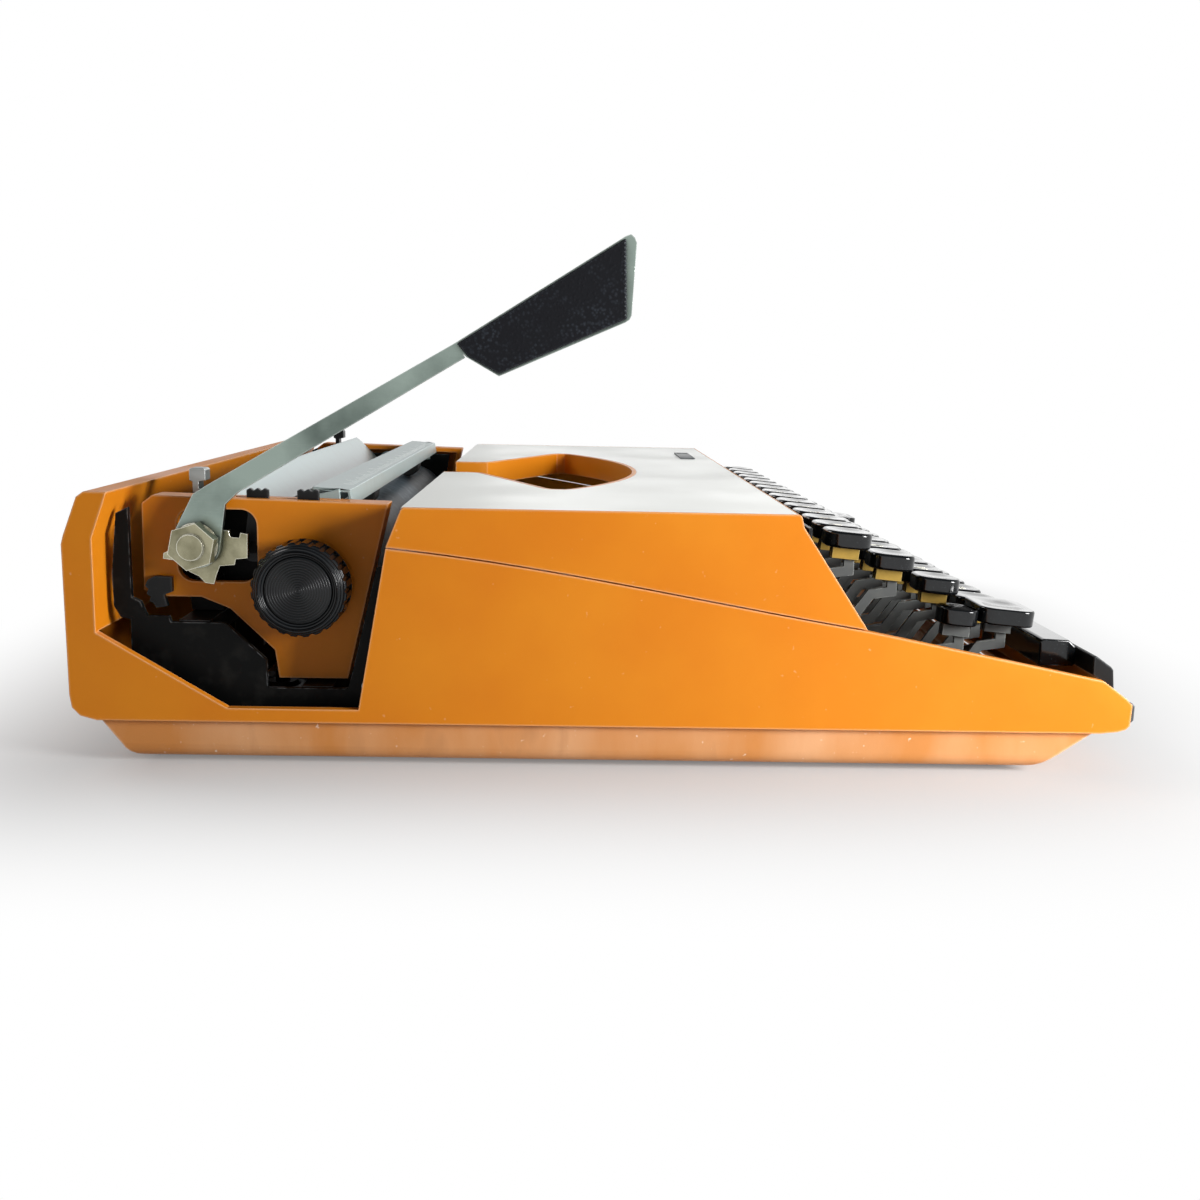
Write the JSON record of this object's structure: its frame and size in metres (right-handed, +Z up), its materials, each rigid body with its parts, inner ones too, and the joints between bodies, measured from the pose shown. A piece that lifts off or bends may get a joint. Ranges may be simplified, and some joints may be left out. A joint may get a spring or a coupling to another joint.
{
  "type": "portable typewriter",
  "caption": "Flat portable manual typewriter with a sliding carriage, platen, raised return lever, open ribbon cover and a full keyboard, for typing on paper.",
  "frame": {"origin": "centre of the bounding box at the plane the feet stand on", "axes": "+X to the typist's right, +Y to the rear, +Z up; the keyboard faces -Y"},
  "size_m": [0.324, 0.333, 0.164],
  "materials": {
    "orange_shell": "moulded ABS, satin gloss, orange",
    "tub_shell": "moulded ABS, fine spark texture, paler orange",
    "white_panel": "moulded ABS, satin, white",
    "black_plastic": "polished black moulding",
    "black_trim": "satin black moulding",
    "grey_trim": "satin dark grey moulding",
    "rubber": "moulded rubber",
    "platen_rubber": "ground hard rubber, blue grey",
    "black_steel": "stoved black enamel on pressed steel",
    "grey_steel": "grey enamel on pressed sheet",
    "bright_steel": "ground and plated steel",
    "zinc_steel": "dull nickel-plated strip",
    "yellow_zinc": "yellow-passivated zinc",
    "brass": "plain brass, slightly tarnished",
    "ribbon_cloth": "inked woven ribbon"
  },
  "bodies": {
    "chassis": {"base_tub": "tub_shell", "rubber_feet": "rubber", "body_shell": "orange_shell", "front_trim": "black_trim", "front_bumper": "grey_trim", "frame_screws": "bright_steel", "main_frame": "black_steel", "carriage_rails": "bright_steel", "key_shaft": "bright_steel", "key_comb": "black_steel", "keyboard_shield": "black_trim", "ribbon_deck": "black_steel", "type_guide": "bright_steel", "ribbon": "ribbon_cloth", "line_bell": "brass"},
    "spring_drum": {"spring_drum": "bright_steel"},
    "ribbon_cover": {"cover_frame": "orange_shell", "cover_panel": "white_panel"},
    "type_basket": {"type_segment": "bright_steel", "typebars": "bright_steel"},
    "centre_typebar": {"centre_typebar": "bright_steel"},
    "left_spool": {"ribbon_spool_left": "black_trim"},
    "right_spool": {"ribbon_spool_right": "black_trim"},
    "carriage": {"carriage_frame": "black_steel", "end_cover_left": "orange_shell", "end_cover_right": "orange_shell", "paper_table": "grey_steel"},
    "platen": {"platen": "platen_rubber", "platen_shaft": "bright_steel", "platen_knob_left": "black_plastic", "platen_knob_right": "black_plastic"},
    "lever_bracket": {"lever_bracket": "yellow_zinc", "lever_bolt": "yellow_zinc"},
    "return_lever": {"return_lever": "zinc_steel", "lever_grip": "black_plastic"},
    "paper_bail": {"paper_bail": "grey_steel"},
    "bail_rollers": {"bail_rollers": "rubber"},
    "paper_release": {"paper_release_lever": "black_trim"},
    "line_space_selector": {"line_space_selector": "black_trim"},
    "carriage_release": {"carriage_release_lever": "black_trim"},
    "left_margin_stop": {"margin_stop_left": "bright_steel"},
    "right_margin_stop": {"margin_stop_right": "black_trim"},
    "centre_key": {"centre_key_top": "black_plastic", "centre_key_lever": "bright_steel"},
    "space_bar": {"space_bar": "black_plastic", "space_arms": "bright_steel"},
    "shift_keys": {"shift_key_tops": "black_plastic", "shift_arms": "bright_steel"},
    "number_row": {"number_row_tops": "black_plastic", "number_row_clips": "brass", "number_row_levers": "bright_steel"},
    "upper_row": {"upper_row_tops": "black_plastic", "upper_row_clips": "brass", "upper_row_levers": "bright_steel"},
    "home_row": {"home_row_tops": "black_plastic", "home_row_clips": "brass", "home_row_levers": "bright_steel"},
    "lower_row": {"lower_row_tops": "black_plastic", "lower_row_clips": "brass", "lower_row_levers": "bright_steel"}
  },
  "joints": [
    {"name": "carriage_slide", "type": "slide", "parent": "chassis", "child": "carriage", "axis": [1, 0, 0], "range_m": [-0.095, 0.095]},
    {"name": "drum_turn", "type": "hinge", "parent": "chassis", "child": "spring_drum", "pos_m": [-0.11, 0.113, 0.01], "axis": [0, 0, 1], "range_deg": [-341, 341]},
    {"name": "cover_lift", "type": "slide", "parent": "chassis", "child": "ribbon_cover", "axis": [0, -0.8415, 0.5402], "range_m": [0, 0.13]},
    {"name": "basket_shift", "type": "slide", "parent": "chassis", "child": "type_basket", "axis": [0, 0, -1], "range_m": [0, 0.0045]},
    {"name": "centre_typebar_swing", "type": "hinge", "parent": "type_basket", "child": "centre_typebar", "pos_m": [0, 0.044, 0.0246], "axis": [-1, 0, 0], "range_deg": [0, 109]},
    {"name": "left_spool_turn", "type": "hinge", "parent": "chassis", "child": "left_spool", "pos_m": [-0.112, 0.035, 0.04], "axis": [0, 0, 1], "continuous": true},
    {"name": "right_spool_turn", "type": "hinge", "parent": "chassis", "child": "right_spool", "pos_m": [0.112, 0.035, 0.04], "axis": [0, 0, 1], "continuous": true},
    {"name": "platen_turn", "type": "hinge", "parent": "carriage", "child": "platen", "pos_m": [0, 0.0965, 0.0555], "axis": [1, 0, 0], "continuous": true},
    {"name": "line_feed", "type": "hinge", "parent": "carriage", "child": "lever_bracket", "pos_m": [-0.1388, 0.129, 0.0682], "axis": [0, 0, 1], "range_deg": [0, 10], "stiffness_Nm_per_rad": 0.4, "springref_deg": -2.86},
    {"name": "lever_fold", "type": "hinge", "parent": "lever_bracket", "child": "return_lever", "pos_m": [-0.1508, 0.129, 0.0682], "axis": [1, 0, 0], "range_deg": [-8, 14]},
    {"name": "bail_lift", "type": "hinge", "parent": "carriage", "child": "paper_bail", "pos_m": [0, 0.11, 0.075], "axis": [-1, 0, 0], "range_deg": [0, 60]},
    {"name": "bail_roller_turn", "type": "hinge", "parent": "paper_bail", "child": "bail_rollers", "pos_m": [0, 0.09068, 0.07723], "axis": [1, 0, 0], "continuous": true},
    {"name": "paper_release_pull", "type": "hinge", "parent": "carriage", "child": "paper_release", "pos_m": [-0.1405, 0.114, 0.066], "axis": [1, 0, 0], "range_deg": [0, 14], "stiffness_Nm_per_rad": 0.02, "springref_deg": -17.19},
    {"name": "line_space_select", "type": "hinge", "parent": "carriage", "child": "line_space_selector", "pos_m": [-0.1405, 0.0965, 0.0555], "axis": [1, 0, 0], "range_deg": [0, 14]},
    {"name": "carriage_release_press", "type": "hinge", "parent": "carriage", "child": "carriage_release", "pos_m": [-0.1465, 0.141, 0.0548], "axis": [1, 0, 0], "range_deg": [0, 10], "stiffness_Nm_per_rad": 0.02, "springref_deg": -11.46},
    {"name": "left_margin_set", "type": "slide", "parent": "carriage", "child": "left_margin_stop", "axis": [1, 0, 0], "range_m": [0, 0.09]},
    {"name": "right_margin_set", "type": "slide", "parent": "carriage", "child": "right_margin_stop", "axis": [1, 0, 0], "range_m": [-0.09, 0]},
    {"name": "number_row_press", "type": "hinge", "parent": "chassis", "child": "number_row", "pos_m": [0, 0.076, 0.024], "axis": [1, 0, 0], "range_deg": [0, 2.8], "stiffness_Nm_per_rad": 1.5, "springref_deg": -14.32},
    {"name": "upper_row_press", "type": "hinge", "parent": "chassis", "child": "upper_row", "pos_m": [0, 0.076, 0.024], "axis": [1, 0, 0], "range_deg": [0, 2.52], "stiffness_Nm_per_rad": 1.5, "springref_deg": -14.32},
    {"name": "home_row_press", "type": "hinge", "parent": "chassis", "child": "home_row", "pos_m": [0, 0.076, 0.024], "axis": [1, 0, 0], "range_deg": [0, 2.29], "stiffness_Nm_per_rad": 1.5, "springref_deg": -14.32},
    {"name": "lower_row_press", "type": "hinge", "parent": "chassis", "child": "lower_row", "pos_m": [0, 0.076, 0.024], "axis": [1, 0, 0], "range_deg": [0, 2.1], "stiffness_Nm_per_rad": 1.5, "springref_deg": -14.32},
    {"name": "centre_key_press", "type": "hinge", "parent": "chassis", "child": "centre_key", "pos_m": [-0.00475, 0.076, 0.024], "axis": [1, 0, 0], "range_deg": [0, 2.29], "stiffness_Nm_per_rad": 0.3, "springref_deg": -17.19},
    {"name": "space_press", "type": "hinge", "parent": "chassis", "child": "space_bar", "pos_m": [0, 0.076, 0.024], "axis": [1, 0, 0], "range_deg": [0, 1.93], "stiffness_Nm_per_rad": 0.8, "springref_deg": -11.46},
    {"name": "shift_press", "type": "hinge", "parent": "chassis", "child": "shift_keys", "pos_m": [0, 0.076, 0.024], "axis": [1, 0, 0], "range_deg": [0, 2.1], "stiffness_Nm_per_rad": 2, "springref_deg": -17.19}
  ],
  "couplings": [
    {"joint": "drum_turn", "follows": "carriage_slide", "rad_per_m": 62.5},
    {"joint": "basket_shift", "follows": "shift_press", "m_per_rad": 0.12276},
    {"joint": "centre_typebar_swing", "follows": "centre_key_press", "ratio": 47.592}
  ]
}
